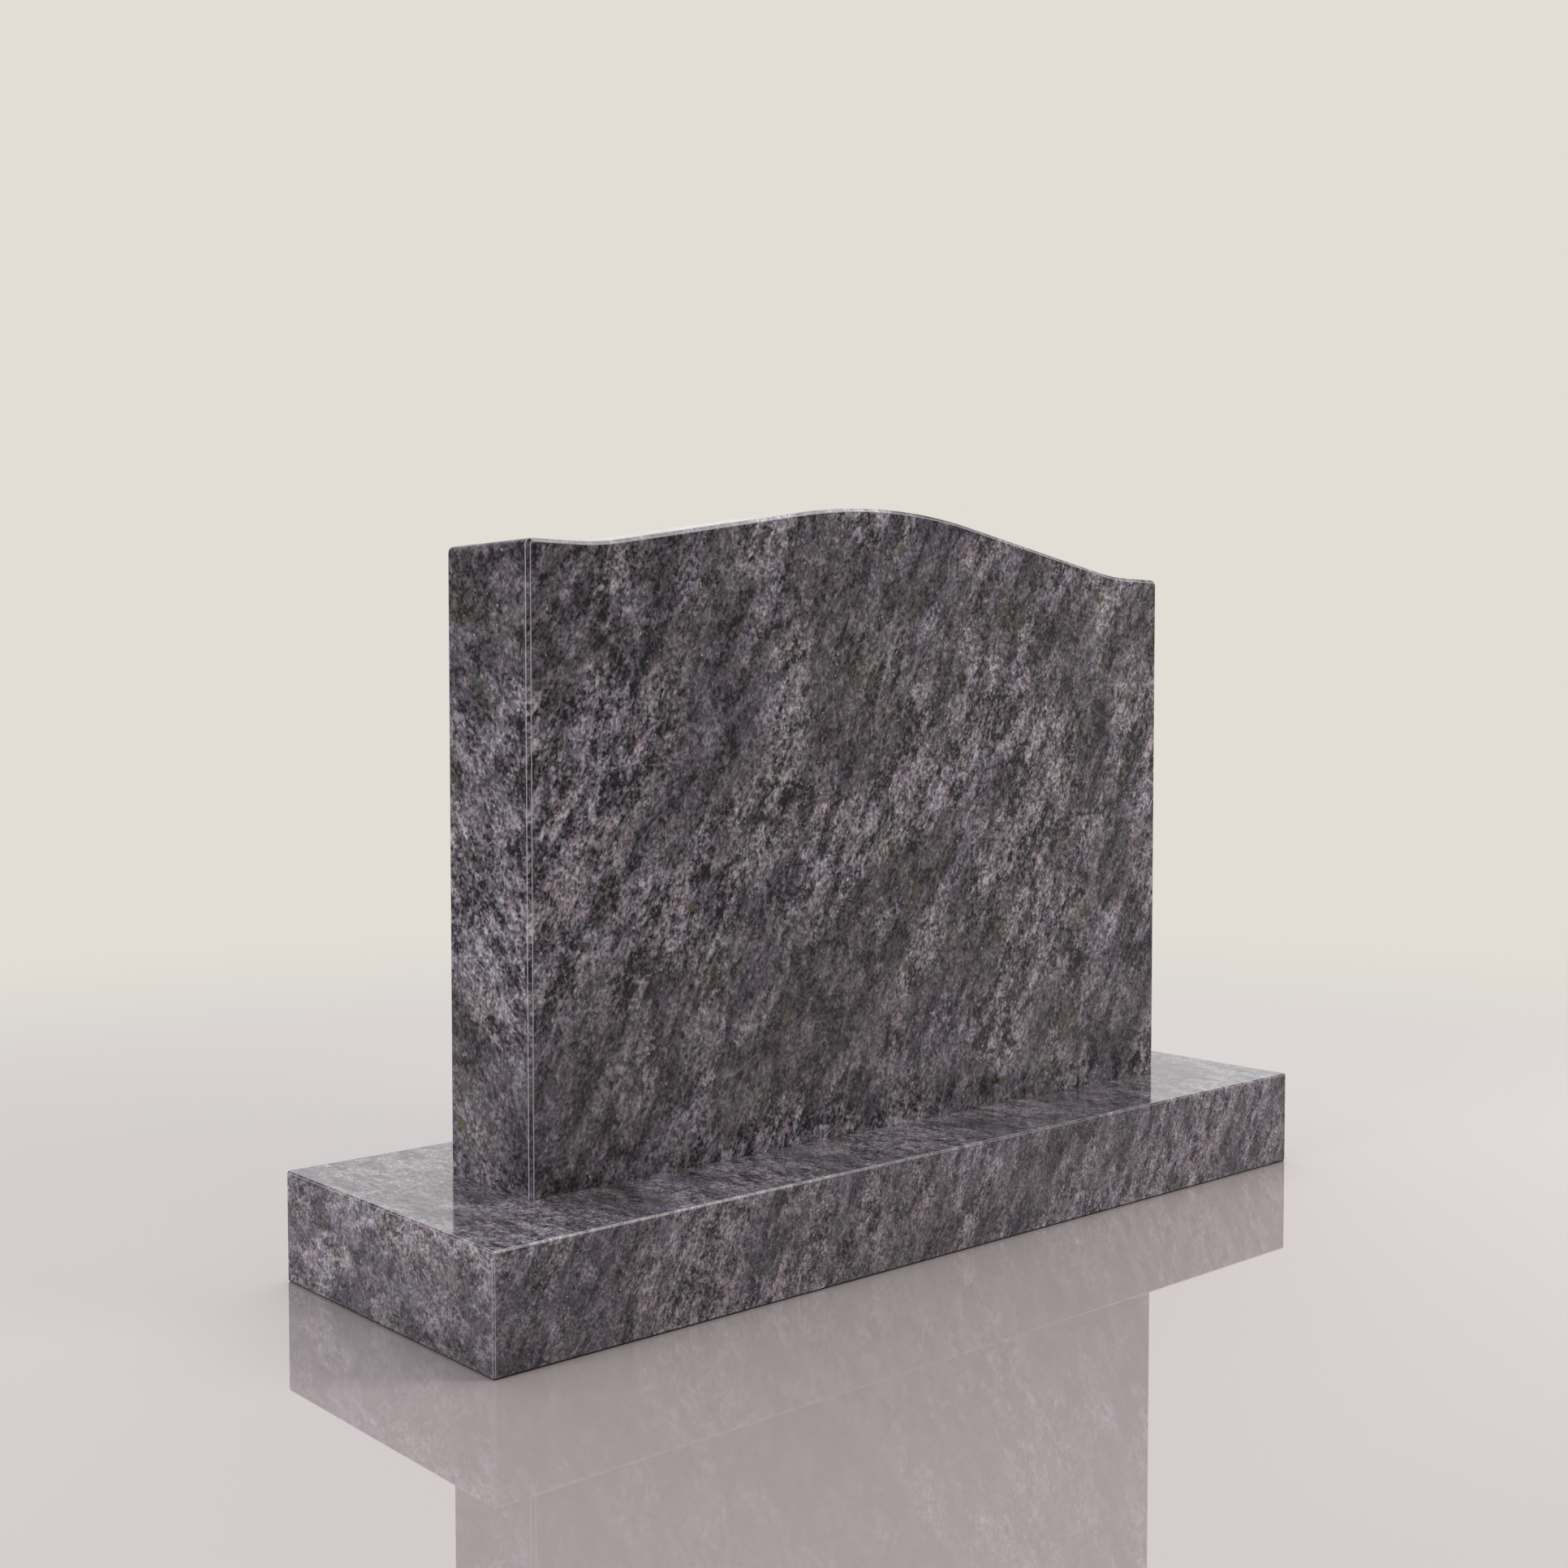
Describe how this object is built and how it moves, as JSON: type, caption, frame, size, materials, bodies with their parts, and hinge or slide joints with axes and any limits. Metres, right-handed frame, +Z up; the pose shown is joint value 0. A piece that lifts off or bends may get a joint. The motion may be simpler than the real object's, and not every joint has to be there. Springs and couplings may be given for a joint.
{
  "type": "headstone",
  "caption": "Upright polished stone memorial: a blank tablet with a serpentine top on a low rectangular base, for an inscription and for standing on a level footing.",
  "frame": {"origin": "middle of the base's underside, on the footing that it stands on", "axes": "+X along the base, -Y out of the inscription side, +Z up"},
  "size_m": [1, 0.32, 0.67],
  "materials": {
    "tablet_stone": "polished",
    "base_stone": "polished"
  },
  "bodies": {
    "root": {"tablet": "tablet_stone", "base": "base_stone"}
  },
  "joints": []
}
